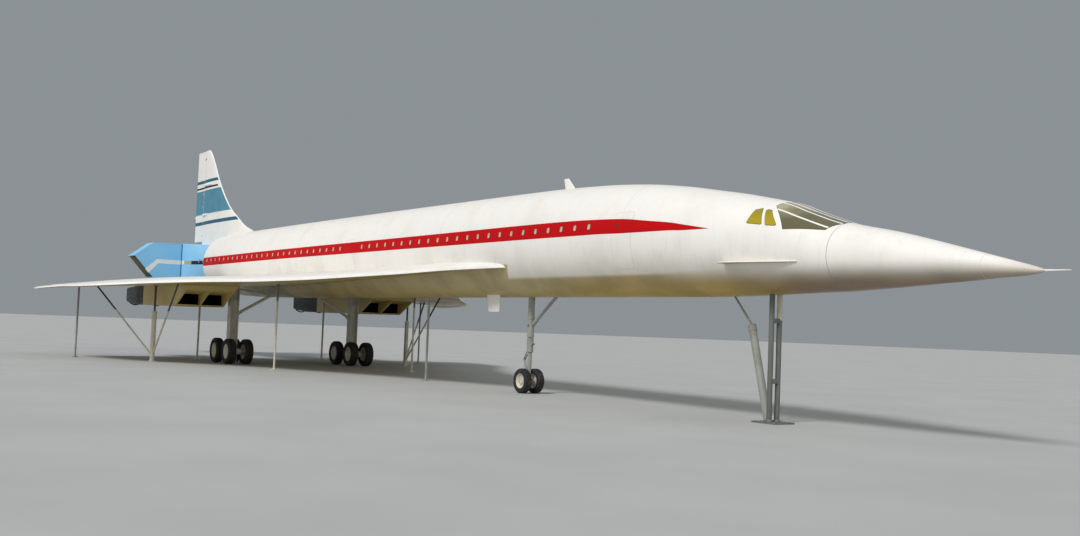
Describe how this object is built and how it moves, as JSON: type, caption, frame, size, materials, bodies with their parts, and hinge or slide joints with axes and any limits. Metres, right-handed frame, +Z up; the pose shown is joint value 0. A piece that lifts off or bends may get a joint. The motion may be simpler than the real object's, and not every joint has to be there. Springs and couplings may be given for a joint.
{
  "type": "half-scale slender delta supersonic airliner on its gear and display posts",
  "caption": "White slender delta-wing supersonic airliner at half scale, on its gear and display posts, with droop nose, elevons, rudders and rear entrance corridor.",
  "frame": {"origin": "centre of the bounding box's underside, on the floor that the wheels and posts stand on", "axes": "+X towards the nose, +Y to port, +Z up"},
  "size_m": [28.225, 10.75, 5.925],
  "materials": {
    "white_paint": "satin",
    "blue_paint": "satin",
    "cockpit_glass": "gloss",
    "nozzle_metal": "satin",
    "dark_metal": "satin",
    "column_paint": "satin",
    "pale_paint": "satin",
    "tyre_rubber": "matte",
    "nacelle_paint": "satin"
  },
  "bodies": {
    "airframe": {"fuselage": "white_paint", "windscreen": "cockpit_glass", "side_window_1_starboard": "cockpit_glass", "side_window_2_starboard": "cockpit_glass", "side_window_1_port": "cockpit_glass", "side_window_2_port": "cockpit_glass", "forward_door_starboard": "white_paint", "middle_door_starboard": "white_paint", "forward_door_port": "white_paint", "middle_door_port": "white_paint", "wing_starboard": "white_paint", "wing_port": "white_paint", "fin": "white_paint", "servo_fairing_upper": "white_paint", "servo_fairing_lower": "white_paint", "blade_antenna": "dark_metal", "nose_vane_starboard": "white_paint", "nose_vane_port": "white_paint", "nacelle_starboard": "nacelle_paint", "engine_inner_starboard": "dark_metal", "engine_outer_starboard": "dark_metal", "nozzles_starboard": "nozzle_metal", "nacelle_port": "nacelle_paint", "engine_inner_port": "dark_metal", "engine_outer_port": "dark_metal", "nozzles_port": "nozzle_metal", "main_leg_starboard": "column_paint", "main_leg_port": "column_paint", "nose_leg": "pale_paint", "nose_gear_door": "white_paint", "post_wing_tip_starboard": "pale_paint", "post_wing_rear_starboard": "pale_paint", "post_wing_inner_rear_starboard": "pale_paint", "post_wing_forward_starboard": "pale_paint", "post_wing_tip_port": "pale_paint", "post_wing_rear_port": "pale_paint", "post_wing_inner_rear_port": "pale_paint", "post_wing_forward_port": "pale_paint", "post_belly": "pale_paint", "forward_posts": "pale_paint", "forward_strut": "pale_paint", "entrance_corridor": "blue_paint"},
    "nose": {"droop_nose": "white_paint", "radome": "white_paint", "nose_probe": "dark_metal"},
    "elevon_inner_starboard": {"elevon_inner_starboard": "white_paint"},
    "elevon_middle_starboard": {"elevon_middle_starboard": "white_paint"},
    "elevon_outer_starboard": {"elevon_outer_starboard": "white_paint"},
    "elevon_inner_port": {"elevon_inner_port": "white_paint"},
    "elevon_middle_port": {"elevon_middle_port": "white_paint"},
    "elevon_outer_port": {"elevon_outer_port": "white_paint"},
    "rudder_lower": {"rudder_lower": "white_paint"},
    "rudder_upper": {"rudder_upper": "white_paint"},
    "nose_steering": {"nose_steering": "pale_paint"},
    "nose_wheels": {"nose_wheels": "tyre_rubber"},
    "main_wheels_front_starboard": {"main_wheels_front_starboard": "tyre_rubber"},
    "main_wheels_rear_starboard": {"main_wheels_rear_starboard": "tyre_rubber"},
    "main_wheels_front_port": {"main_wheels_front_port": "tyre_rubber"},
    "main_wheels_rear_port": {"main_wheels_rear_port": "tyre_rubber"}
  },
  "joints": [
    {"name": "nose_droop", "type": "hinge", "parent": "airframe", "child": "nose", "pos_m": [11.4275, 0, 1.665], "axis": [0, 1, 0], "range_deg": [0, 12.5]},
    {"name": "elevon_inner_port_tilt", "type": "hinge", "parent": "airframe", "child": "elevon_inner_port", "pos_m": [-8.2375, 0.72, 1.885], "axis": [0, 0.9999, -0.0136], "range_deg": [-20, 20]},
    {"name": "elevon_middle_port_tilt", "type": "hinge", "parent": "airframe", "child": "elevon_middle_port", "pos_m": [-8.2375, 2.9, 1.82367], "axis": [0, 0.9974, -0.0722], "range_deg": [-20, 20]},
    {"name": "elevon_outer_port_tilt", "type": "hinge", "parent": "airframe", "child": "elevon_outer_port", "pos_m": [-8.2375, 4.02, 1.7422], "axis": [0, 0.9949, -0.1005], "range_deg": [-20, 20]},
    {"name": "elevon_inner_starboard_tilt", "type": "hinge", "parent": "airframe", "child": "elevon_inner_starboard", "pos_m": [-8.2375, -0.72, 1.885], "axis": [0, 0.9999, 0.0136], "range_deg": [-20, 20]},
    {"name": "elevon_middle_starboard_tilt", "type": "hinge", "parent": "airframe", "child": "elevon_middle_starboard", "pos_m": [-8.2375, -2.9, 1.82367], "axis": [0, 0.9974, 0.0722], "range_deg": [-20, 20]},
    {"name": "elevon_outer_starboard_tilt", "type": "hinge", "parent": "airframe", "child": "elevon_outer_starboard", "pos_m": [-8.2375, -4.02, 1.7422], "axis": [0, 0.9949, 0.1005], "range_deg": [-20, 20]},
    {"name": "rudder_lower_swing", "type": "hinge", "parent": "airframe", "child": "rudder_lower", "pos_m": [-13.20887, 0, 3.255], "axis": [-0.0276, 0, 0.9996], "range_deg": [-30, 30]},
    {"name": "rudder_upper_swing", "type": "hinge", "parent": "airframe", "child": "rudder_upper", "pos_m": [-13.24229, 0, 4.467], "axis": [-0.0276, 0, 0.9996], "range_deg": [-30, 30]},
    {"name": "nose_gear_steer", "type": "hinge", "parent": "airframe", "child": "nose_steering", "pos_m": [4.5375, 0, 0.5], "axis": [0, 0, 1], "range_deg": [-60, 60]},
    {"name": "nose_wheels_spin", "type": "hinge", "parent": "nose_steering", "child": "nose_wheels", "pos_m": [4.5375, 0, 0.205], "axis": [0, 1, 0], "continuous": true},
    {"name": "main_wheels_front_starboard_spin", "type": "hinge", "parent": "airframe", "child": "main_wheels_front_starboard", "pos_m": [-5.345, -1.51, 0.29], "axis": [0, 1, 0], "continuous": true},
    {"name": "main_wheels_rear_starboard_spin", "type": "hinge", "parent": "airframe", "child": "main_wheels_rear_starboard", "pos_m": [-6.18, -1.51, 0.29], "axis": [0, 1, 0], "continuous": true},
    {"name": "main_wheels_front_port_spin", "type": "hinge", "parent": "airframe", "child": "main_wheels_front_port", "pos_m": [-5.345, 1.51, 0.29], "axis": [0, 1, 0], "continuous": true},
    {"name": "main_wheels_rear_port_spin", "type": "hinge", "parent": "airframe", "child": "main_wheels_rear_port", "pos_m": [-6.18, 1.51, 0.29], "axis": [0, 1, 0], "continuous": true}
  ]
}
